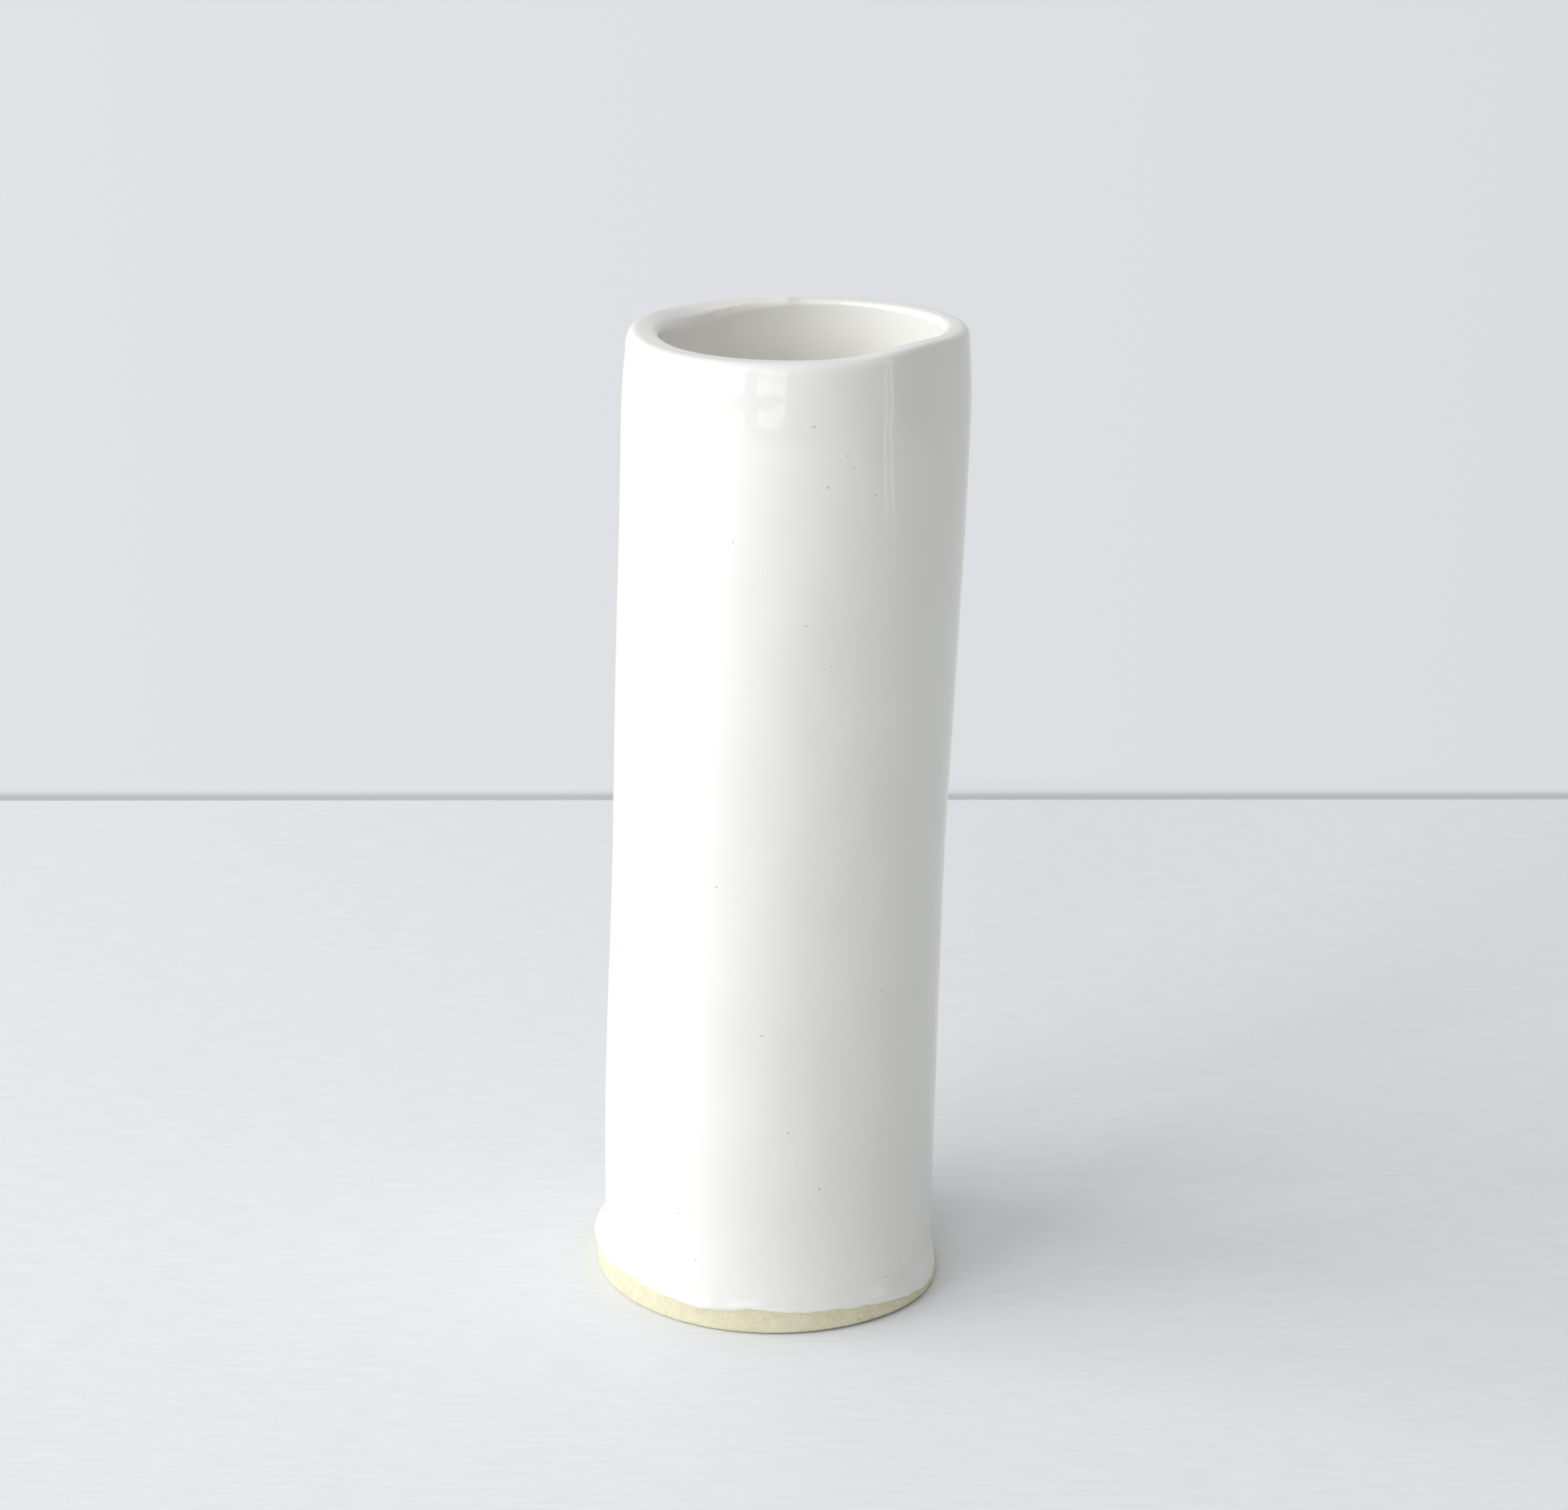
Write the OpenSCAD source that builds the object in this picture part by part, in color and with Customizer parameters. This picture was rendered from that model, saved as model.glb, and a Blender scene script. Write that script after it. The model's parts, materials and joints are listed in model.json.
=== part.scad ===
// Slab-built stoneware bud vase: a tube rolled from one slab of clay, luted onto a round base slab,
// its joint sealed with a coil of soft clay inside and one outside, then glazed in two coats.
// Origin at the centre of the foot's underside, +Z up, +X the way the tube leans.

/* [Vase] */
// Height of the mouth's centre above the table
height = 170; // [120:1:210]
// Outside diameter of the glazed tube
tube_d = 58.2; // [48:0.1:70]
// Lean of the tube towards +X, in degrees
lean = 1.9; // [0.5:0.1:2.5]
// Where the tube's axis meets the table, along X from the foot's centre
tube_shift = -0.4; // [-0.6:0.1:0.2]
// Rise of the mouth towards +X, in degrees
mouth_tilt = 0.7; // [0:0.1:1]

/* [Clay] */
// Thickness of the rolled wall slab
wall = 4.6; // [4.2:0.1:5.4]
// Thickness of the base slab
base_t = 6; // [5:0.1:7]
// How far the base slab stands out beyond the bare clay of the tube
foot_step = 2; // [1.6:0.1:2.4]
// Chamfer round the foot's bottom edge
foot_chamfer = 0.7; // [0.4:0.1:1.2]
// Radius of the hollow that the inner coil is smoothed to
inner_coil_r = 4; // [3:0.5:6]
// Radius of the hollow that the outer coil is smoothed to
outer_coil_r = 20; // [18:0.5:22]
// Height at which the outer coil has run out into the tube
outer_coil_top = 15; // [14:0.1:15]

/* [Glaze] */
// Thickness of the fired glaze
glaze = 0.4; // [0.3:0.05:0.5]
// Height of the band wiped bare of glaze at the foot
bare_band = 3.7; // [3:0.1:4.8]
// Rounding of the clay lip on its outer side
lip_out_r = 3; // [2.6:0.1:3.2]
// Rounding of the clay lip on its inner side
lip_in_r = 1.4; // [1:0.1:1.4]

/* [Hidden] */
$fn = 192;

clay_r = tube_d / 2 - glaze; // outside of the clay tube
bore_r = clay_r - wall; // inside of the clay tube
foot_r = clay_r + foot_step; // base slab at its widest
split_r = clay_r - wall / 2; // where the two coats of glaze meet, on the crest of the lip

lip_gap = 0.2; // how far the lip's roundings start beyond the tube's walls
lip_depth = 5; // depth of the zone that holds the roundings
lip_mid = lip_depth / 2; // depth below the crest at which the lip is centred on the tube
coil_blunt = 0.15; // thickness left at the inner coil's upper edge
coil_sink = 1.2; // how far the inner coil's hollow would run below the floor
coil_dip = 0.5; // how far the outer coil's hollow runs into the tube's wall
tall = height + 20; // clears the rim
wide = foot_r + 20; // clears the foot

clay = [0.86, 0.81, 0.66];
damp_clay = [0.82, 0.76, 0.61];
white_glaze = [0.96, 0.96, 0.94];
liner_white = [0.90, 0.90, 0.86];

// Stands its children on the tube's own leaning axis.
module leaning()
    translate([tube_shift, 0, 0]) rotate([0, lean, 0]) children();

// Places its children at the crest of the mouth, square to the mouth.
module at_mouth() {
    tube_x = tube_shift + (height - lip_mid) * tan(lean);
    translate([tube_x - lip_mid * tan(mouth_tilt), 0, height]) rotate([0, -mouth_tilt, 0]) children();
}

// Everything above the level z.
module above(z)
    translate([-wide, -wide, z]) cube([2 * wide, 2 * wide, tall]);

// The waste outside a rounding of radius r, at the corner of a square of that side.
module rounding_waste(r, toward)
    difference() {
        translate([toward > 0 ? 0 : -r - 1, 0]) square(r + 1);
        circle(r);
    }

// What lies under the rounded lip, with its surface moved out by skin.
module under_lip(skin) {
    out_x = clay_r + skin + lip_gap;
    in_x = bore_r - skin - lip_gap;
    out_r = lip_out_r + skin;
    in_r = lip_in_r + skin;
    crest = skin - glaze;
    at_mouth() rotate_extrude() {
        difference() {
            translate([in_x, -lip_depth]) square([out_x - in_x, lip_depth + crest]);
            translate([out_x - out_r, crest - out_r]) rounding_waste(out_r, 1);
            translate([in_x + in_r, crest - in_r]) rounding_waste(in_r, -1);
        }
        translate([0, -tall]) square([wide, tall - lip_depth]);
    }
}

// Section of the inner coil, with its hollow moved in by skin.
module inner_coil_section(skin) {
    top = base_t + inner_coil_r - coil_sink;
    difference() {
        translate([bore_r - inner_coil_r, 0]) square([inner_coil_r, top]);
        translate([bore_r - inner_coil_r - coil_blunt, top]) circle(inner_coil_r - skin);
    }
}

// The hollow of the vase, with its walls and floor moved in by skin.
module hollow(skin)
    intersection() {
        leaning() rotate_extrude() difference() {
            square([bore_r - skin, tall]);
            inner_coil_section(skin);
        }
        above(base_t + skin);
    }

// The filled outer form of base slab and outer coil, with its surface moved out by skin.
module foot_form(skin)
    rotate_extrude() difference() {
        square([foot_r + skin, outer_coil_top]);
        translate([clay_r - coil_dip + outer_coil_r, outer_coil_top]) circle(outer_coil_r - skin);
    }

// The filled outer form of the whole vase, with its surface moved out by skin.
module outer_form(skin) {
    intersection() {
        leaning() cylinder(r = clay_r + skin, h = tall);
        under_lip(skin);
        above(bare_band);
    }
    foot_form(skin);
}

// Both coats of glaze, before they are parted at the crest of the lip.
module glaze_coat()
    difference() {
        outer_form(glaze);
        hollow(glaze);
        difference() {
            outer_form(0);
            hollow(0);
        }
        translate([-wide, -wide, -1]) cube([2 * wide, 2 * wide, bare_band + 1]);
    }

// The core that holds the liner coat.
module inside_split()
    intersection() {
        leaning() cylinder(r = split_r, h = tall);
        above(base_t / 2);
    }

// Round slab under the vase, bare at its edge and underneath.
module base_slab()
    color(clay) union() {
        cylinder(r1 = foot_r - foot_chamfer, r2 = foot_r, h = foot_chamfer);
        intersection() {
            foot_form(0);
            translate([0, 0, foot_chamfer]) cylinder(r = wide, h = base_t - foot_chamfer);
        }
    }

// Rolled slab bent round into the leaning tube, with its lip rounded over.
module wall_tube()
    color(clay) intersection() {
        leaning() difference() {
            cylinder(r = clay_r, h = tall);
            translate([0, 0, -1]) cylinder(r = bore_r, h = tall + 2);
        }
        under_lip(0);
        above(base_t);
    }

// Coil smoothed into the corner between the wall and the floor.
module inner_coil()
    color(damp_clay) intersection() {
        leaning() rotate_extrude() inner_coil_section(0);
        above(base_t);
    }

// Coil smoothed into the corner between the tube and the edge of the base slab.
module outer_coil()
    color(damp_clay) difference() {
        foot_form(0);
        leaning() cylinder(r = clay_r, h = tall);
        translate([0, 0, -1]) cylinder(r = wide, h = base_t + 1);
    }

// Coat poured into the vase: floor, inner coil, wall and the inner half of the lip.
module liner_glaze()
    color(liner_white) intersection() {
        glaze_coat();
        inside_split();
    }

// Coat dipped over the outside: outer half of the lip, tube, outer coil and the top of the foot.
module outer_glaze()
    color(white_glaze) difference() {
        glaze_coat();
        inside_split();
    }

base_slab();
wall_tube();
inner_coil();
outer_coil();
liner_glaze();
outer_glaze();
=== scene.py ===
import json
import math

import bpy
import numpy as np
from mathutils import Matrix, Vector, noise


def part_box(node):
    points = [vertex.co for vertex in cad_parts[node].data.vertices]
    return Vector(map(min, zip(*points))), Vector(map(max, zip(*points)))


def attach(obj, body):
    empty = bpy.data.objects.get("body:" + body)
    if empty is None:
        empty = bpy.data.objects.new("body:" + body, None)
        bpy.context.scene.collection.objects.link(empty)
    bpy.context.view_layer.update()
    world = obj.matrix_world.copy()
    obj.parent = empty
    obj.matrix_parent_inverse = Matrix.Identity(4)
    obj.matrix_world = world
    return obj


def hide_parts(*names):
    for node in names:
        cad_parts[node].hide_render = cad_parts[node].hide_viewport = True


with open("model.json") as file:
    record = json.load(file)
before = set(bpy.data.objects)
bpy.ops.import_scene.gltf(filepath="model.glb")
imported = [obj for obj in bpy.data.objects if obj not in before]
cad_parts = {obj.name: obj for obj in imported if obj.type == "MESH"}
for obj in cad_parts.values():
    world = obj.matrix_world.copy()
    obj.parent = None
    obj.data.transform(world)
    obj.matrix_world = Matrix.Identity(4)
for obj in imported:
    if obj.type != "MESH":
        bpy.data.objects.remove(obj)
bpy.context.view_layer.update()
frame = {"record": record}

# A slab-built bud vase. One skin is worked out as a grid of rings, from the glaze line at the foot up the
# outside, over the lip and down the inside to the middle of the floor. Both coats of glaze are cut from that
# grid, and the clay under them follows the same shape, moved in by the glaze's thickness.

MM = 0.001
TURN = 2 * math.pi

# ---------------------------------------------------------------- sizes taken from the frame
mouth = next(m for m in frame["record"]["mounts"] if m["name"] == "mouth")
LEAN = mouth["axis"][0] / mouth["axis"][2]  # how far the tube's axis goes along X for each unit of height
AXIS_X = mouth["pos_m"][0] - LEAN * mouth["pos_m"][2]  # where that axis meets the table
BORE_R = mouth["dims"]["r_mm"] * MM  # the well's free radius, inside its glaze
FOOT_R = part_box("base_slab")[1].x
BASE_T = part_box("base_slab")[1].z
CLAY_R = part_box("wall_tube")[1].y  # outside of the clay tube
COIL_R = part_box("inner_coil")[1].y  # inside of the clay tube, which the inner coil lies against
GLAZE = COIL_R - BORE_R
CREST_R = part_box("liner_glaze")[1].y  # radius at which the two coats of glaze meet on the lip
MOUTH_RISE = math.tan(math.radians(0.7))  # rise of the mouth towards +X for each unit along X
RIM_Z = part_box("liner_glaze")[1].z - MOUTH_RISE * CREST_R

# ---------------------------------------------------------------- the hand-made shape
SEGMENTS = 480
WELL_WALL_RINGS = 40
CORNER_RINGS = 12
KNEE_Z = 25 * MM  # the tube stands upright on its foot and starts to lean about here
KNEE_SOFT = 16 * MM
WAIST_DEEP, WAIST_Z, WAIST_SPAN = 0.34 * MM, 76 * MM, 25 * MM
SEAM = math.radians(94)  # azimuth of the lap where the rolled slab meets itself, at the back
LIP_TAPER = 18 * MM  # the wall starts to draw in this far below the rim
LIP_DRAW = 1.05 * MM
FILLET = 3.6 * MM  # rounding of the glazed inside corner
COIL_RUN = 16 * MM  # height over which the outer coil thins out into the tube, in front
FOOT_SOFT = 0.85 * MM  # rounding of the foot's bottom edge
FOOT_HOLLOW = 0.12 * MM  # how far the middle of the underside stands off the table
FOOT_LIFT = 0.45 * MM  # how far the foot's edge comes up off the table at the right front
FOOT_TOP = 22 * MM  # the rings of the foot end here, above the outer coil
COIL_TOP = 20 * MM  # top of the outer coil's mesh
TUBE_FACE_TOP = 18 * MM  # the wall's own outer face reaches up to here, and the skin gives it above
WELL_FACE_TOP = 150 * MM  # the wall's own inner face starts down from here
WELL_DISH = 0.15 * MM  # how far the middle of the well's floor lies below its edge
GLAZE_ROLL = 0.9 * MM  # height over which the glaze's edge is rolled
COAT_DEPTH = GLAZE * 0.98  # a coat of glaze stops just short of the clay under it
EDGE_DEPTH = GLAZE * 0.3  # what is left of it at the rolled edge
SLAB_UNDER = 0.06 * MM  # how far the base slab draws in where the glaze and the coil cover it

theta = np.arange(SEGMENTS) * TURN / SEGMENTS


def bump(angle, centre_deg, width_deg):
    """A smooth hill of height 1 round the vase, centred on one azimuth."""
    off = (angle - math.radians(centre_deg) + math.pi) % TURN - math.pi
    return np.exp(-((off / math.radians(width_deg)) ** 2))


def smooth(low, high, value):
    """Goes from 0 at low to 1 at high, with no corner at either end."""
    t = np.clip((value - low) / (high - low), 0, 1)
    return t * t * (3 - 2 * t)


def lean_run(z):
    """How much of a height counts towards the lean, which comes in smoothly above the knee."""
    above = z - KNEE_Z
    return (above + np.sqrt(above**2 + KNEE_SOFT**2)) / 2


LEAN_SLOPE = (AXIS_X + LEAN * RIM_Z) / lean_run(RIM_Z)


def axis_x(z):
    """X of the tube's slightly bowed axis at a height."""
    bow = 0.32 * MM * np.exp(-(((z - 0.143) / 0.030) ** 2)) - 0.09 * MM
    return LEAN_SLOPE * lean_run(z) + bow


def unevenness(angle, z):
    """How far the rolled wall stands off a true round, inside and outside alike."""
    slow = 0.07 * MM * np.cos(3 * angle + 1.1 - 22 * z) + 0.05 * MM * np.cos(4 * angle - 0.6 + 35 * z)
    thumb = -0.16 * MM * bump(angle, -68, 13) * np.exp(-(((z - 0.127) / 0.010) ** 2))
    press = -0.12 * MM * bump(angle, -118, 16) * np.exp(-(((z - 0.150) / 0.012) ** 2))
    lap = 0.22 * MM * bump(angle, math.degrees(SEAM), 5) * (1 - smooth(0.150, 0.168, z))
    flat = -0.9 * MM * bump(angle, -42, 20) * smooth(0.120, 0.175, z)
    return slow + thumb + press + lap + flat


def wall_r(angle, z):
    """Radius of the glazed tube about its axis."""
    waist = WAIST_DEEP * np.exp(-(((z - WAIST_Z) / WAIST_SPAN) ** 2))
    heel = 0.09 * MM * np.exp(-(((z - 0.030) / 0.025) ** 2))
    heel = heel + 0.30 * MM * bump(angle, 0, 32) * (1 - smooth(0.004, 0.018, z))
    return CLAY_R + GLAZE + 0.22 * MM + heel - waist + unevenness(angle, z)


def bore_r(angle, z):
    """Free radius of the well about the tube's axis; the wall is thicker on the left than on the right."""
    grown = 0.45 * np.cos(angle) * smooth(0.06, 0.16, z)
    grown = grown - 0.45 * bump(angle, 168, 26) * smooth(0.13, 0.165, z)
    return BORE_R + unevenness(angle, z) + grown * MM


def rim_z(angle):
    """Height of the lip's crest, with the dips and rises that a hand leaves."""
    hand = -0.15 * MM + 0.75 * MM * bump(angle, 172, 30) + 0.80 * MM * bump(angle, -43, 24)
    hand = hand + 0.22 * MM * bump(angle, 0, 20) - 0.20 * MM * bump(angle, 97, 16)
    lap = 0.14 * MM * bump(angle, math.degrees(SEAM), 3)
    return RIM_Z + MOUTH_RISE * CREST_R * np.cos(angle) + hand + lap


def foot_r(angle):
    """Radius of the base slab at the table."""
    front = 1.5 * bump(angle, -47, 34) + 0.45 * bump(angle, -33, 18) + 0.7 * bump(angle, -88, 42)
    return FOOT_R + (0.1 + front - 1.05 * bump(angle, 8, 26)) * MM


def slab_r(angle, z):
    """Radius of the base slab's edge, which draws in a little as it rises."""
    draft = 0.25 + 0.5 * bump(angle, -40, 40) + 0.8 * bump(angle, -88, 42) + 1.5 * bump(angle, 6, 28)
    return foot_r(angle) - draft * MM * np.clip(z / BASE_T, 0, 1)


def leftward(angle):
    """1 at the vase's left, falling away to both sides."""
    return bump(angle, 180, 52)


def foot_blend(angle, z):
    """From 1 at the base slab's edge to 0 where the outer coil has run out into the tube."""
    start = (4.6 - 2.4 * bump(angle, -3, 24)) * MM
    reach = COIL_RUN - 11.2 * MM * leftward(angle) - 6 * MM * bump(angle, -22, 26)
    t = np.clip((z - start) / reach, 0, 1)
    hollow = (1 - t) ** 1.7
    ogee = 1 - smooth(0, 1, t)
    return hollow + (ogee - hollow) * leftward(angle)


# Centre and width in degrees, and rise in millimetres, of each rise and drip of the glaze's edge.
GLAZE_WAVES = [
    (-165, 24, 1.1),
    (-137, 11, 0.6),
    (-112, 6, -0.3),
    (-95, 8, 0.7),
    (-28, 24, -2.2),
    (0, 20, 0.8),
    (48, 12, 0.7),
    (78, 7, -0.5),
    (104, 10, 0.6),
    (140, 15, -0.4),
]


def glaze_line(angle):
    """Height of the wavy edge where the glaze stops above the foot."""
    z = 3.7 * MM + 0 * angle
    for centre, width, rise in GLAZE_WAVES:
        z = z + rise * MM * bump(angle, centre, width)
    fine = np.array([noise.noise(Vector((14 * math.cos(a), 14 * math.sin(a), 3.3))) for a in angle])
    return z + 0.28 * MM * fine


def outside_r(angle, z):
    """Radius of the glazed outside about the tube's axis, foot and coil included."""
    tube = wall_r(angle, z)
    return tube + (slab_r(angle, z) + GLAZE - tube) * foot_blend(angle, z)


def ring(radius, z):
    """One ring of the skin: radius and height at each azimuth, about the tube's axis."""
    z = z + 0 * theta
    return np.stack([axis_x(z) + radius * np.cos(theta), radius * np.sin(theta), z], -1)


def foot_rings():
    """The rolled edge of the glaze, and the outside up to where the coil has run out."""
    edge = glaze_line(theta)
    pool = 0.10 * MM + 0.42 * MM * leftward(theta)
    rings = []
    for phi in np.linspace(0, math.pi / 2, 12):
        z = edge + GLAZE_ROLL * (1 - math.cos(phi))
        thick = (GLAZE + pool) * math.sin(phi)
        rings.append(ring(outside_r(theta, z) - GLAZE + thick, z))
    start = edge + GLAZE_ROLL
    for t in np.linspace(0, 1, 40)[1:]:
        z = start + (FOOT_TOP - start) * t**1.3
        extra = pool * np.exp(-(((z - start) / (2.2 * MM)) ** 2))
        rings.append(ring(outside_r(theta, z) + extra, z))
    return rings


def shoulder_drop(angle):
    """Height of the lip's outer rounding: tight at front left and right, soft at the left."""
    return (2.9 - 1.0 * bump(angle, -122, 26) - 0.5 * bump(angle, 8, 35) + 0.7 * bump(angle, 180, 24)) * MM


def lip_slope(angle):
    """How far the lip's top falls from its crest to the well: most at the back left."""
    return (0.1 + 1.6 * bump(angle, 143, 27) + 0.15 * bump(angle, 40, 26)) * MM


def throat_z(angle):
    """Height at which the lip's inner rounding runs into the well: tightest at the back."""
    return rim_z(angle) - lip_slope(angle) - (1.7 - 0.9 * bump(angle, 70, 52)) * MM


def edge_width(angle, lip):
    """How far from the well the lip's inner rounding starts, out of the lip's half width."""
    width = (1.5 - 0.8 * bump(angle, 70, 52)) * MM
    return np.minimum(width, 0.95 * lip)


def drawn_wall_r(angle, z):
    """The glazed wall, drawn in under the lip."""
    t = np.clip((z - (rim_z(angle) - LIP_TAPER)) / LIP_TAPER, 0, 1)
    return wall_r(angle, z) - LIP_DRAW * t**2.35


def wall_rings():
    """The outside from the top of the foot to the lip's outer rounding."""
    shoulder = rim_z(theta) - shoulder_drop(theta)
    rings = []
    for t in np.linspace(0, 1, 70)[1:]:
        z = FOOT_TOP + (shoulder - FOOT_TOP) * t
        rings.append(ring(drawn_wall_r(theta, z), z))
    return rings


def quadrant(phi, power):
    """A point of a rounded corner: across and up, each from 0 to 1."""
    return np.cos(phi) ** (2 / power), np.sin(phi) ** (2 / power)


def crest_r(angle):
    """Radius of the lip's crest, which wanders a little between its outside and its inside."""
    return CREST_R - 0.15 * MM * np.cos(angle) + 1.1 * MM * bump(angle, 126, 34)


def lip_rings():
    """The lip: outer rounding, crest, inner rounding. Returns the rings and the crest's place in them."""
    crest, top = crest_r(theta), rim_z(theta)
    shoulder, throat = top - shoulder_drop(theta), throat_z(theta)
    outer = drawn_wall_r(theta, shoulder)
    inner = bore_r(theta, throat)
    rings = []
    for phi in np.linspace(0, math.pi / 2, 25)[1:]:
        across, up = quadrant(phi, 2.6)
        rings.append(ring(crest + (outer - crest) * across, shoulder + (top - shoulder) * up))
    at_crest = len(rings) - 1
    edge = inner + edge_width(theta, crest - inner)
    slope = lip_slope(theta)
    turn = top - slope - throat

    def fallen(radius):
        return slope * ((crest - radius) / (crest - inner)) ** 1.5

    for t in np.linspace(0, 1, 9)[1:]:
        radius = crest + (edge - crest) * t
        rings.append(ring(radius, top - fallen(radius)))
    for phi in np.linspace(math.pi / 2, 0, 21)[1:]:
        across, up = quadrant(max(phi, 0.0), 2.2)
        radius = edge + (inner - edge) * across
        rings.append(ring(radius, top - fallen(radius) - turn * (1 - up)))
    return rings, at_crest


def well_rings():
    """The inside: wall, rounded corner, floor."""
    throat = throat_z(theta)
    floor_z = BASE_T + GLAZE
    corner_z = floor_z + FILLET
    rings = []
    for t in np.linspace(0, 1, WELL_WALL_RINGS + 1)[1:]:
        z = throat + (corner_z - throat) * t
        rings.append(ring(bore_r(theta, z), z))
    corner = bore_r(theta, corner_z + 0 * theta)
    for phi in np.linspace(0, math.pi / 2, CORNER_RINGS + 1)[1:]:
        z = floor_z + FILLET * (1 - math.sin(phi))
        rings.append(ring(corner - FILLET * (1 - math.cos(phi)), z))
    for t in np.linspace(1, 0, 14)[1:-1]:
        rings.append(ring((corner - FILLET) * t, floor_z - WELL_DISH * (1 - t)))
    return rings


foot_part, wall_part = foot_rings(), wall_rings()
lip_part, crest_in_lip = lip_rings()
skin = np.array(foot_part + wall_part + lip_part + well_rings())
FOOT_END = len(foot_part) - 1
CREST = len(foot_part) + len(wall_part) + crest_in_lip
LIP_END = len(foot_part) + len(wall_part) + len(lip_part) - 1
CORNER = LIP_END + WELL_WALL_RINGS
CORNER_END = CORNER + CORNER_RINGS


def skin_normals(grid):
    """Outward normals of the whole skin, so that the two coats shade as one where they meet."""
    along = np.gradient(grid, axis=0)
    around = np.roll(grid, -1, axis=1) - np.roll(grid, 1, axis=1)
    n = np.cross(around, along)
    return n / np.linalg.norm(n, axis=-1, keepdims=True)


normals = skin_normals(skin)


# ---------------------------------------------------------------- meshes
def mesh_object(name, points, faces, point_normals=None):
    """A smooth-shaded object of these points and faces, with its own normals where they are given."""
    data = bpy.data.meshes.new(name)
    data.from_pydata([tuple(p) for p in points], [], faces)
    data.update()
    data.shade_smooth()
    if point_normals is not None:
        data.normals_split_custom_set_from_vertices([tuple(n) for n in point_normals])
    piece = bpy.data.objects.new(name, data)
    bpy.context.scene.collection.objects.link(piece)
    return piece


def thin_glaze(points):
    """How far the clay shows through: at the lip's inner edge, at the lap and low at front right."""
    points = np.array(points)
    z = points[:, 2]
    across = points[:, 0] - axis_x(z)
    angle, radius = np.arctan2(points[:, 1], across), np.hypot(across, points[:, 1])
    at_lip = z > RIM_Z - 4 * MM
    edge = bump(angle, 122, 19) * np.exp(-(((radius - bore_r(angle, z) - 0.55 * MM) / (0.42 * MM)) ** 2))
    lap = 0.42 * bump(angle, 92, 4) * np.exp(-(((radius - CREST_R + 1.4 * MM) / (1.1 * MM)) ** 2))
    low = 0.14 * bump(angle, -42, 14) * np.exp(-(((z - 6.2 * MM) / (1.6 * MM)) ** 2))
    return np.where(at_lip, 0.45 * edge + lap, low)


def mark_thin_glaze(piece):
    """Stores thin_glaze with each point of a coat, for the material to read."""
    points = [v.co[:] for v in piece.data.vertices]
    thin = piece.data.attributes.new("thin", "FLOAT", "POINT")
    thin.data.foreach_set("value", thin_glaze(points).astype(np.float32))


def ring_faces(rows, count, closed=False):
    """Quads between neighbouring rings; closed joins the last ring to the first."""
    faces = []
    for i in range(rows if closed else rows - 1):
        a, b = i * count, ((i + 1) % rows) * count
        for j in range(count):
            k = (j + 1) % count
            faces.append((a + j, a + k, b + k, b + j))
    return faces


def loop_of_rings(name, rings, ring_normals=None):
    """A closed band: rings run up one side and back down the other."""
    rows, count = rings.shape[:2]
    flat = rings.reshape(-1, 3)
    given = None if ring_normals is None else ring_normals.reshape(-1, 3)
    return mesh_object(name, flat, ring_faces(rows, count, closed=True), given)


def capped_rings(name, rings, ring_normals=None):
    """A closed solid of rings, with a fan over each end."""
    rows, count = rings.shape[:2]
    flat = np.concatenate([rings.reshape(-1, 3), [rings[0].mean(0)], [rings[-1].mean(0)]])
    faces = ring_faces(rows, count)
    first, last = rows * count, rows * count + 1
    for j in range(count):
        k = (j + 1) % count
        faces.append((first, k, j))
        faces.append((last, (rows - 1) * count + j, (rows - 1) * count + k))
    given = None
    if ring_normals is not None:
        ends = [ring_normals[0].mean(0), ring_normals[-1].mean(0)]
        given = np.concatenate([ring_normals.reshape(-1, 3), ends])
        given = given / np.linalg.norm(given, axis=-1, keepdims=True)
    return mesh_object(name, flat, faces, given)


def sunk(rows, depth):
    """The skin's rows moved in under their own surface."""
    return skin[rows] - normals[rows] * np.reshape(depth, (-1, 1, 1))


def every_nth(first, last, step):
    """Row numbers from last down to first, thinned, with both ends kept."""
    rows = list(range(last, first, -step))
    return rows + [first]


def make_outer_glaze():
    """The outer coat: the skin from its rolled edge up to the crest, and its own back."""
    front = np.arange(0, CREST + 1)
    back = every_nth(2, CREST, 8)
    depth = [COAT_DEPTH] * (len(back) - 1) + [EDGE_DEPTH]
    rings = np.concatenate([skin[front], sunk(back, depth)])
    shading = np.concatenate([normals[front], -normals[back]])
    return loop_of_rings("outer_glaze_coat", rings, shading)


def make_liner_glaze():
    """The inner coat: the skin from the crest down to the floor's middle, and its own back."""
    last = len(skin) - 1
    front = np.arange(CREST, last + 1)
    back = every_nth(CREST, last, 6)
    rings = np.concatenate([skin[front], sunk(back, [COAT_DEPTH] * len(back))])
    middle = len(front)
    flat = np.concatenate([rings.reshape(-1, 3), [rings[middle - 1].mean(0)], [rings[middle].mean(0)]])
    up = Vector((0, 0, 1))
    shading = np.concatenate([normals[front], -normals[back]]).reshape(-1, 3)
    shading = np.concatenate([shading, [up], [-up]])
    count = SEGMENTS
    faces = ring_faces(len(front), count)
    offset = middle * count
    faces += [tuple(v + offset for v in f) for f in ring_faces(len(back), count)]
    top_centre, low_centre = len(flat) - 2, len(flat) - 1
    for j in range(count):
        k = (j + 1) % count
        end = (middle - 1) * count
        faces.append((top_centre, end + j, end + k))
        faces.append((low_centre, offset + k, offset + j))
        rim = (len(rings) - 1) * count
        faces.append((rim + j, rim + k, k, j))
    return mesh_object("liner_glaze_coat", flat, faces, shading)


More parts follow.
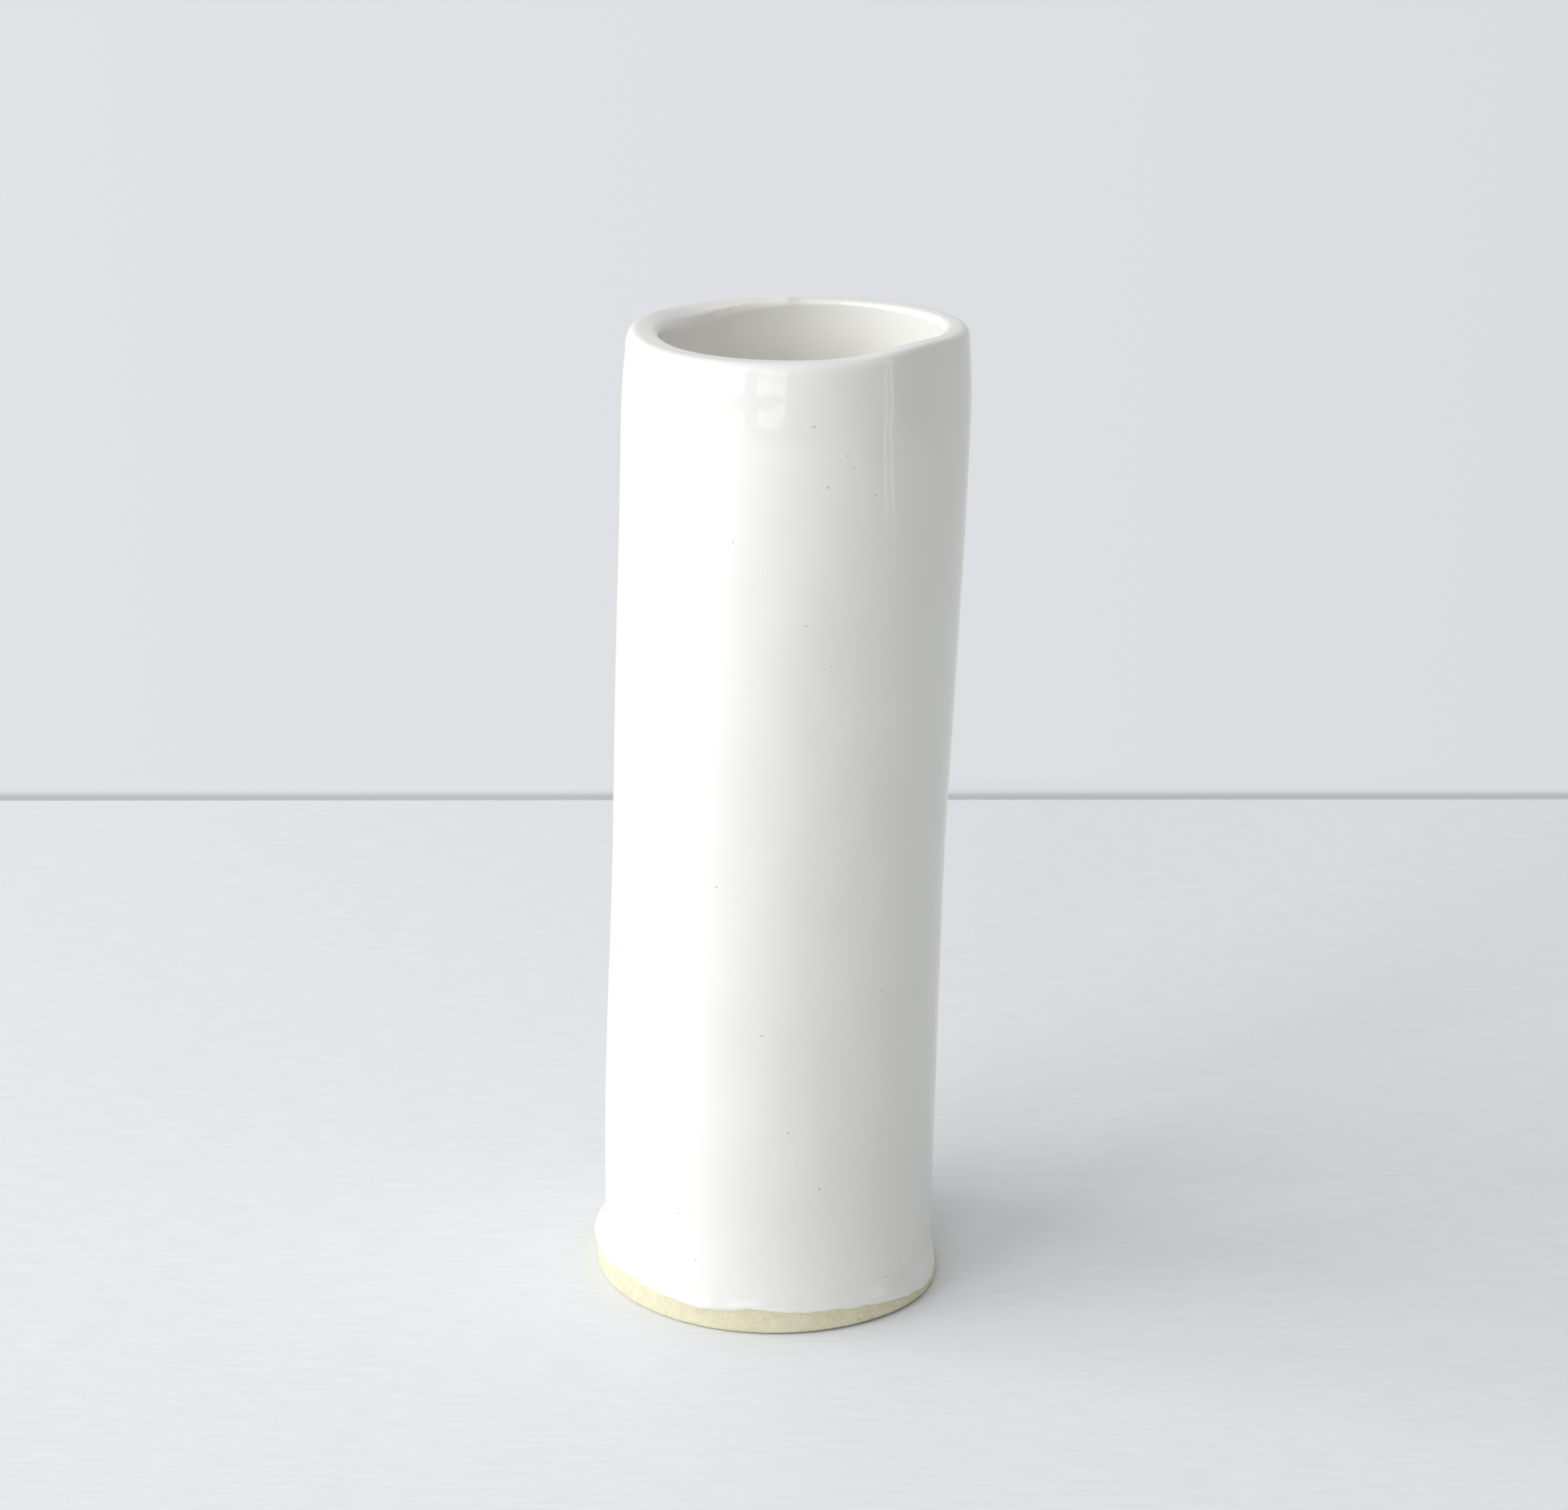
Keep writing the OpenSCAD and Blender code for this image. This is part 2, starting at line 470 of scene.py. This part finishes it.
# ---------------------------------------------------------------- clay under the glaze
def make_base_slab():
    """The round slab: slightly hollow underside, softened bottom edge lifted at the right front, sandy
    bare side, and a top hidden under the tube.
    """
    segments = 2 * SEGMENTS
    angle = np.arange(segments) * TURN / segments
    edge = np.interp(angle, theta, glaze_line(theta), period=TURN)
    around = np.stack([np.cos(angle), np.sin(angle), 0 * angle], -1)
    rings = []

    def add(radius, z):
        """Adds one ring about the tube's axis."""
        z = z + 0 * angle
        rings.append(around * np.reshape(radius, (-1, 1)) + np.stack([axis_x(z), 0 * z, z], -1))

    soft = FOOT_SOFT * (1 - 0.35 * bump(angle, -45, 45))
    lifted = FOOT_LIFT * bump(angle, -40, 46)
    bottom = foot_r(angle) - soft
    for t in np.linspace(0.1, 1, 19):
        add(bottom * t, FOOT_HOLLOW * (1 - smooth(0.90, 1.0, t)) + lifted * smooth(0.80, 1.0, t))
    for phi in np.linspace(0, math.pi / 2, 7)[1:-1]:
        add(bottom + soft * math.sin(phi), lifted + soft * (1 - math.cos(phi)))
    for t in np.linspace(0, 1, 40):
        z = lifted + soft + (BASE_T - lifted - soft) * t
        grain = np.array([sand(p, h) for p, h in zip(around, z)])
        under = smooth(0, 0.3 * MM, z - edge)
        add(outside_r(angle, z) - GLAZE + grain * (1 - under) - SLAB_UNDER * under, z)
    top = outside_r(angle, BASE_T) - GLAZE - SLAB_UNDER
    for t in (0.9, 0.5, 0.1):
        add(top * t, BASE_T)
    return capped_rings("stoneware_base_slab", np.array(rings))


def sand(direction, z):
    """Relief of the bare clay's sandy side at a point of its edge."""
    p = Vector((direction[0] * FOOT_R, direction[1] * FOOT_R, z)) / MM
    return 0.035 * MM * noise.noise(p * 2.6) + 0.030 * MM * noise.noise(p * 5.5 + Vector((7, 3, 1)))


def tube_face_r(z):
    """Outside of the clay tube, which the coil always covers where there is one."""
    least = 0.03 * MM
    return np.minimum(wall_r(theta, z), outside_r(theta, z) - least) - GLAZE


def make_wall_tube():
    """The rolled slab: outer face, lip, inner face, standing on the base slab."""
    outside = [ring(tube_face_r(z), z) for z in np.linspace(BASE_T, TUBE_FACE_TOP, 16)]
    over = sunk(np.arange(FOOT_END, LIP_END + 1, 2), GLAZE)
    inside = [ring(bore_r(theta, z) + GLAZE, z) for z in np.linspace(WELL_FACE_TOP, BASE_T, 30)]
    return loop_of_rings("stoneware_wall_tube", np.concatenate([outside, over, inside]))


def make_inner_coil():
    """The coil in the inside corner, hollow-faced under the liner."""
    face = sunk(np.arange(CORNER, CORNER_END + 1), GLAZE)
    back = ring(bore_r(theta, BASE_T) + GLAZE - 0.02 * MM, BASE_T)
    return loop_of_rings("stoneware_inner_coil", np.concatenate([face, [back]]))


def make_outer_coil():
    """The coil smoothed into the outside corner, thinning to nothing up the tube."""
    heights = np.linspace(BASE_T, COIL_TOP, 30)
    face = [ring(outside_r(theta, z) - GLAZE, z) for z in heights]
    back = [ring(tube_face_r(z), z) for z in heights[::-1]]
    return loop_of_rings("stoneware_outer_coil", np.array(face + back))


# ---------------------------------------------------------------- materials
class Nodes:
    """Short calls for building one material's node tree."""

    def __init__(self, name):
        self.material = bpy.data.materials.new(name)
        self.material.use_nodes = True
        self.tree = self.material.node_tree
        self.shader = self.tree.nodes["Principled BSDF"]
        self.place = self.tree.nodes.new("ShaderNodeTexCoord").outputs["Object"]

    def node(self, kind, inputs=(), **settings):
        """Adds a node, with its inputs given as values or as other nodes' outputs."""
        made = self.tree.nodes.new("ShaderNode" + kind)
        for key, value in settings.items():
            setattr(made, key, value)
        for key, value in dict(inputs).items():
            self.put(made.inputs[key], value)
        return made

    def put(self, socket, value):
        if isinstance(value, bpy.types.NodeSocket):
            self.tree.links.new(value, socket)
        else:
            socket.default_value = value

    def math(self, operation, a, b=0.0, clamp=False):
        return self.node("Math", {0: a, 1: b}, operation=operation, use_clamp=clamp).outputs[0]

    def noise(self, per_mm, detail=2.0, roughness=0.5, shift=(0, 0, 0)):
        """Noise from 0 to 1, with about per_mm features in each millimetre."""
        place = self.node("VectorMath", {0: self.place, 1: shift}, operation="ADD").outputs[0]
        inputs = {"Vector": place, "Scale": per_mm / MM, "Detail": detail, "Roughness": roughness}
        return self.node("TexNoise", inputs).outputs["Fac"]

    def spots(self, cell_mm, radius_mm, soft_mm, shift=(0, 0, 0)):
        """1 inside small round grains scattered one to a cell, and 0 between them."""
        place = self.node("VectorMath", {0: self.place, 1: shift}, operation="ADD").outputs[0]
        cells = self.node("TexVoronoi", {"Vector": place, "Scale": 1 / (cell_mm * MM)}, feature="F1")
        limits = {"From Min": radius_mm / cell_mm, "From Max": (radius_mm - soft_mm) / cell_mm}
        grain = self.node("MapRange", {"Value": cells.outputs["Distance"], **limits}, clamp=True)
        return grain.outputs["Result"]

    def ramp(self, value, low, high, low_to=0.0, high_to=1.0):
        """Value carried from low..high over to low_to..high_to, and held at both ends."""
        limits = {"From Min": low, "From Max": high, "To Min": low_to, "To Max": high_to}
        return self.node("MapRange", {"Value": value, **limits}, clamp=True).outputs["Result"]

    def mix(self, factor, a, b):
        made = self.node("Mix", data_type="RGBA")
        for index, value in ((0, factor), (6, a), (7, b)):
            self.put(made.inputs[index], value)
        return made.outputs[2]

    def bumps(self, height, reach_mm, strength=1.0, below=None):
        """Shading relief up to reach_mm high, laid over the relief below."""
        inputs = {"Height": height, "Distance": reach_mm * MM, "Strength": strength}
        if below is not None:
            inputs["Normal"] = below
        return self.node("Bump", inputs).outputs["Normal"]


OUTER_WHITE = (0.83, 0.825, 0.79)
# The glaze inside the well is the outer coat's white made brighter: painted light inside the well.
LINER_PAINTED_LIGHT_WHITE = (0.92, 0.91, 0.865)
THIN_TAN = (0.50, 0.36, 0.22, 1)
IRON = (0.17, 0.14, 0.11, 1)
OCHRE = (0.50, 0.38, 0.14, 1)


def speck_centre(azimuth_deg, z):
    """The point of the glazed outside at an azimuth and a height."""
    a = math.radians(azimuth_deg)
    angle = np.array([a])
    radius = drawn_wall_r(angle, z)[0] if z > FOOT_TOP else outside_r(angle, z)[0]
    return (float(axis_x(z)) + radius * math.cos(a), radius * math.sin(a), z)


# The larger iron specks on the front: azimuth in degrees, height and diameter in millimetres.
IRON_SPECKS = [
    (-85, 160, 0.60),
    (-80, 150, 0.42),
    (-74, 155, 0.40),
    (-72, 153, 0.32),
    (-64, 148, 0.36),
    (-158, 157, 0.38),
    (-85, 127, 0.36),
    (-111, 81, 0.42),
    (-94, 55, 0.42),
    (-84, 37, 0.38),
    (-73, 26, 0.44),
    (-122, 20, 0.36),
    (-115, 12, 0.34),
    (-49, 7, 0.36),
]


def glaze_material(name, deep_white_painted_light_in_liner, specks):
    """Glaze that is OUTER_WHITE at the lip and the white passed in well below it; for the liner that white is
    brighter than the glaze's own, painted light inside the well.
    """
    m = Nodes(name)
    cloud = m.ramp(m.noise(0.05, 3), 0.3, 0.7, 0.965, 1.0)
    height = m.node("SeparateXYZ", {0: m.place}).outputs["Z"]
    # Below the lip the colour goes over to the white passed in; in the liner that is painted light.
    white = m.mix(m.ramp(height, RIM_Z - 1 * MM, RIM_Z - 6 * MM), OUTER_WHITE + (1,), deep_white_painted_light_in_liner + (1,))
    body = m.node("VectorMath", {0: white, "Scale": cloud}, operation="SCALE").outputs[0]
    thin = m.node("Attribute", attribute_name="thin").outputs["Fac"]
    patchy = m.ramp(m.noise(0.9, 4, 0.6, (0.3, 0.1, 0.2)), 0.25, 0.65)
    tan = m.math("MULTIPLY", thin, patchy, clamp=True)
    colour = m.mix(tan, body, THIN_TAN)
    colour = m.mix(m.math("MULTIPLY", m.spots(3.0, 0.15, 0.08), 0.22), colour, IRON)
    colour = m.mix(m.math("MULTIPLY", m.spots(5.0, 0.19, 0.09, (0.013, 0.007, 0.003)), 0.42), colour, IRON)
    for index, (azimuth, z, across) in enumerate(specks):
        near = m.node("VectorMath", {0: m.place, 1: speck_centre(azimuth, z * MM)}, operation="DISTANCE")
        inside = m.ramp(near.outputs["Value"], across * MM * 0.60, across * MM * 0.20)
        colour = m.mix(m.math("MULTIPLY", inside, 0.52), colour, OCHRE if index == 0 else IRON)
    m.put(m.shader.inputs["Base Color"], colour)
    m.shader.inputs["Roughness"].default_value = 0.035
    m.shader.inputs["IOR"].default_value = 1.52
    swell = m.bumps(m.noise(0.11, 2, 0.4), 0.30, 0.5)
    peel = m.bumps(m.noise(0.45, 2, 0.5, (0.02, 0.05, 0.01)), 0.020, 0.5, swell)
    m.put(m.shader.inputs["Normal"], peel)
    return m.material


def stoneware_material():
    """Bare buff clay: mottled, sandy, with pale grains and a few iron specks."""
    m = Nodes("buff_stoneware")
    mottle = m.mix(m.ramp(m.noise(0.5, 4, 0.6), 0.35, 0.65), (0.60, 0.54, 0.365, 1), (0.70, 0.66, 0.475, 1))
    sandy = m.mix(m.ramp(m.noise(4.5, 2, 0.7), 0.35, 0.75), mottle, (0.78, 0.745, 0.575, 1))
    colour = m.mix(m.math("MULTIPLY", m.spots(1.2, 0.24, 0.12), 0.40), sandy, (0.93, 0.89, 0.78, 1))
    iron = m.spots(3.1, 0.20, 0.10, (0.003, 0.011, 0.005))
    colour = m.mix(m.math("MULTIPLY", iron, 0.5), colour, (0.16, 0.10, 0.06, 1))
    m.put(m.shader.inputs["Base Color"], colour)
    m.shader.inputs["Roughness"].default_value = 0.92
    m.shader.inputs["Specular IOR Level"].default_value = 0.25
    coarse = m.bumps(m.noise(1.6, 4, 0.65), 0.12, 0.6)
    fine = m.bumps(m.noise(5.0, 2, 0.6, (0.01, 0.02, 0.03)), 0.05, 0.7, coarse)
    m.put(m.shader.inputs["Normal"], fine)
    return m.material


def floor_material():
    """The pale table, faintly brushed along X."""
    m = Nodes("pale_floor")
    streaks = m.node("Mapping", {"Vector": m.place, "Scale": (18, 160, 160)}).outputs[0]
    brushed = m.node("TexNoise", {"Vector": streaks, "Scale": 6.0, "Detail": 4.0}).outputs["Fac"]
    strokes = m.mix(m.ramp(brushed, 0.3, 0.7), (0.784, 0.801, 0.818, 1), (0.830, 0.848, 0.865, 1))
    colour = m.mix(m.ramp(m.noise(1.1, 3, 0.7), 0.35, 0.75, 0.0, 0.06), strokes, (0.42, 0.41, 0.40, 1))
    m.put(m.shader.inputs["Base Color"], colour)
    m.shader.inputs["Roughness"].default_value = 0.55
    m.put(m.shader.inputs["Normal"], m.bumps(brushed, 0.3, 0.3))
    return m.material


def emission_material(name, colour, strength):
    """A surface that only gives light."""
    m = Nodes(name)
    m.tree.nodes.remove(m.shader)
    m.shader = m.node("Emission", {"Color": colour, "Strength": strength})
    m.tree.links.new(m.shader.outputs[0], m.tree.nodes["Material Output"].inputs["Surface"])
    return m.material


def wall_material():
    """The pale wall, with painted shade: a little darker to the right, and a painted shadow along the gap
    over the table.
    """
    m = Nodes("pale_wall")
    m.tree.nodes.remove(m.shader)
    where = m.node("SeparateXYZ", {0: m.place}).outputs
    slope = m.math("DIVIDE", where["X"], where["Y"])
    # Painted shade: the wall darkens towards the right.
    across = m.ramp(slope, -0.22, 0.24, 1.01, 0.945)
    # Painted shadow: a dark band along the gap between the table's back edge and the wall.
    off = m.math("DIVIDE", m.math("SUBTRACT", where["Z"], GAP_Z), GAP_HALF)
    depth = m.math("EXPONENT", m.math("MULTIPLY", m.math("POWER", m.math("ABSOLUTE", off), 2.0), -1.0))
    gap = m.math("SUBTRACT", 1.0, m.math("MULTIPLY", depth, 0.34))
    glow = m.node("Emission", {"Color": WALL_TONE, "Strength": m.math("MULTIPLY", across, gap)})
    m.tree.links.new(glow.outputs[0], m.tree.nodes["Material Output"].inputs["Surface"])
    return m.material


# ---------------------------------------------------------------- camera, light, floor
CAMERA_BACK, CAMERA_UP = 0.575, 0.2897
CAMERA_RIGHT = 0.0013
LENS_MM, SENSOR_MM = 80.7, 36
CAMERA_DOWN = math.radians(18.7)
CAMERA_TURN = math.radians(0.155)
TABLE_BACK = 0.246
TABLE_REACH = 0.8
WALL_TONE = (0.745, 0.760, 0.783, 1)
WALL_FOOT = 0.005  # height of the strip of wall that shows the shadow gap over the table's back edge
GAP_Z, GAP_HALF = 0.0007, 0.0013
SURROUND_R = 7


def make_camera():
    """The camera in front, a little above the mouth, looking down at the vase."""
    data = bpy.data.cameras.new("camera")
    data.sensor_width = SENSOR_MM
    data.lens = LENS_MM
    camera = bpy.data.objects.new("camera", data)
    bpy.context.scene.collection.objects.link(camera)
    camera.location = (CAMERA_RIGHT, -CAMERA_BACK, CAMERA_UP)
    camera.rotation_euler = (math.pi / 2 - CAMERA_DOWN, 0, -CAMERA_TURN)
    bpy.context.scene.camera = camera


def make_floor():
    """The table, which ends at the wall."""
    half = TABLE_REACH
    corners = [(-half, -half, 0), (half, -half, 0), (half, TABLE_BACK, 0), (-half, TABLE_BACK, 0)]
    floor = mesh_object("floor", corners, [(0, 1, 2, 3)])
    floor.data.materials.append(floor_material())


def only_camera(thing):
    """Hides a thing from everything but the camera's own rays."""
    thing.visible_diffuse = False
    thing.visible_glossy = False
    thing.visible_transmission = False
    thing.visible_shadow = False


def make_backdrop():
    """A pale surround and the foot of the wall, seen by the camera alone, so that they light nothing."""
    bpy.ops.mesh.primitive_uv_sphere_add(segments=48, ring_count=24, radius=SURROUND_R)
    surround = bpy.context.object
    surround.name = "surround"
    half = TABLE_REACH
    corners = [(-half, TABLE_BACK, 0), (half, TABLE_BACK, 0), (half, TABLE_BACK, WALL_FOOT)]
    wall_foot = mesh_object("wall_foot", corners + [(-half, TABLE_BACK, WALL_FOOT)], [(0, 1, 2, 3)])
    tone = wall_material()
    for thing in (surround, wall_foot):
        thing.data.materials.append(tone)
        only_camera(thing)


# The windows stand to the left and in front. Azimuths are in degrees from the camera's side towards -X.
WINDOW_AZIMUTH, WINDOW_DISTANCE = 62, 1.5
PANE_ROWS = [(-0.10, 0.0), (0.07, 0.85), (0.92, 1.9)]


def make_window(name, columns, strength):
    """Lit panes in the window wall, one column for each pair of azimuths."""
    facing = math.radians(WINDOW_AZIMUTH)
    centre = Vector((-math.sin(facing), -math.cos(facing), 0)) * WINDOW_DISTANCE
    side = Vector((math.cos(facing), -math.sin(facing), 0))
    points, faces = [], []
    for right, left in columns:
        ends = [WINDOW_DISTANCE * math.tan(facing - math.radians(a)) for a in (right, left)]
        for low, high in PANE_ROWS:
            first = len(points)
            points += [centre + side * e + Vector((0, 0, z)) for z in (low, high) for e in ends]
            faces.append((first, first + 1, first + 3, first + 2))
    window = mesh_object(name, points, faces)
    window.data.materials.append(emission_material(name + "_light", (0.985, 0.995, 1.0, 1), strength))
    window.visible_camera = False


# The door frame's bars: azimuths in degrees from the camera's side towards +X, and heights.
DOOR_BARS = [(63.5, 66.0), (68.5, 71.5)]
DOOR_DISTANCE = 0.5
DOOR_SPAN = (0.01, 0.6)


def make_door_frame():
    """Two slim bright uprights at front right, which only the glaze's reflection shows."""
    points, faces = [], []
    for near_edge, far_edge in DOOR_BARS:
        first = len(points)
        for azimuth in (near_edge, far_edge):
            a = math.radians(azimuth)
            points += [(DOOR_DISTANCE * math.sin(a), -DOOR_DISTANCE * math.cos(a), z) for z in DOOR_SPAN]
        faces.append((first, first + 1, first + 3, first + 2))
    frame_bars = mesh_object("door_frame", points, faces)
    frame_bars.data.materials.append(emission_material("door_frame_light", (1, 1, 0.98, 1), 1.6))
    frame_bars.visible_camera = False
    frame_bars.visible_diffuse = False
    frame_bars.visible_shadow = False


# Radiance of the room by direction: azimuth in degrees from the camera's side towards +X, and brightness.
ROOM = [(-180, 0.72), (-118, 0.70), (-100, 0.25), (-10, 0.24), (40, 0.33), (71, 0.72), (73, 0.22), (98, 0.25)]
ROOM_LAST = (112, 0.70)
CEILING = 0.58
CEILING_FROM, CEILING_FULL = 0.45, 0.80  # sine of the elevation where the ceiling starts and where it is full


def make_world():
    """Pale wall behind, dark room to the right, a lit door frame at front right, ceiling above."""
    world = bpy.data.worlds.new("room")
    bpy.context.scene.world = world
    world.use_nodes = True
    tree = world.node_tree
    place = tree.nodes.new("ShaderNodeTexCoord")
    split = tree.nodes.new("ShaderNodeSeparateXYZ")
    tree.links.new(place.outputs["Generated"], split.inputs[0])

    def step(kind, a, b, **settings):
        """Adds a node with two inputs and returns its output."""
        made = tree.nodes.new(kind)
        for key, value in settings.items():
            setattr(made, key, value)
        for socket, value in zip(made.inputs, (a, b)):
            if isinstance(value, bpy.types.NodeSocket):
                tree.links.new(value, socket)
            elif value is not None:
                socket.default_value = value
        return made.outputs[0]

    front = step("ShaderNodeMath", split.outputs["Y"], -1.0, operation="MULTIPLY")
    azimuth = step("ShaderNodeMath", split.outputs["X"], front, operation="ARCTAN2")
    turned = step("ShaderNodeMath", azimuth, 1 / TURN, operation="MULTIPLY")
    along = step("ShaderNodeMath", turned, 0.5, operation="ADD")
    ramp = tree.nodes.new("ShaderNodeValToRGB")
    tree.links.new(along, ramp.inputs[0])
    stops = ROOM + [ROOM_LAST]
    while len(ramp.color_ramp.elements) < len(stops):
        ramp.color_ramp.elements.new(1.0)
    for element, (degrees, bright) in zip(ramp.color_ramp.elements, stops):
        element.position = degrees / 360 + 0.5
        element.color = (bright * 0.97, bright * 0.985, bright, 1)
    height = tree.nodes.new("ShaderNodeMapRange")
    tree.links.new(split.outputs["Z"], height.inputs["Value"])
    height.inputs["From Min"].default_value = CEILING_FROM
    height.inputs["From Max"].default_value = CEILING_FULL
    blend = tree.nodes.new("ShaderNodeMix")
    blend.data_type = "RGBA"
    tree.links.new(height.outputs["Result"], blend.inputs[0])
    tree.links.new(ramp.outputs["Color"], blend.inputs[6])
    blend.inputs[7].default_value = (CEILING, CEILING, CEILING, 1)
    tree.links.new(blend.outputs[2], tree.nodes["Background"].inputs["Color"])


# ---------------------------------------------------------------- put together
make_camera()
bpy.context.scene.view_settings.view_transform = "Standard"
make_floor()
make_backdrop()
make_window("near_window", [(9, 28)], 2.0)
make_window("middle_window", [(37, 62)], 3.8)
make_window("far_window", [(66, 90), (94, 112)], 4.5)
make_door_frame()
make_world()

clay = stoneware_material()
outer_white = glaze_material("white_glaze", OUTER_WHITE, IRON_SPECKS)
# The liner's glaze carries painted light: it is brighter below the lip than the outer coat.
liner_painted_light_glaze = glaze_material("liner_glaze_painted_light", LINER_PAINTED_LIGHT_WHITE, [])
PIECES = [
    (make_outer_glaze(), "outer_glaze", "outer_glaze", outer_white),
    (make_liner_glaze(), "liner_glaze", "liner_glaze", liner_painted_light_glaze),
    (make_base_slab(), "base_slab", "bare_clay", clay),
    (make_wall_tube(), "wall_tube", "bare_clay", clay),
    (make_inner_coil(), "inner_coil", "bare_clay", clay),
    (make_outer_coil(), "outer_coil", "bare_clay", clay),
]
for piece, _, _, _ in PIECES[:2]:
    mark_thin_glaze(piece)
for piece, node, slot, material in PIECES:
    piece.data.materials.append(material)
    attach(piece, "root")
    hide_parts(node)
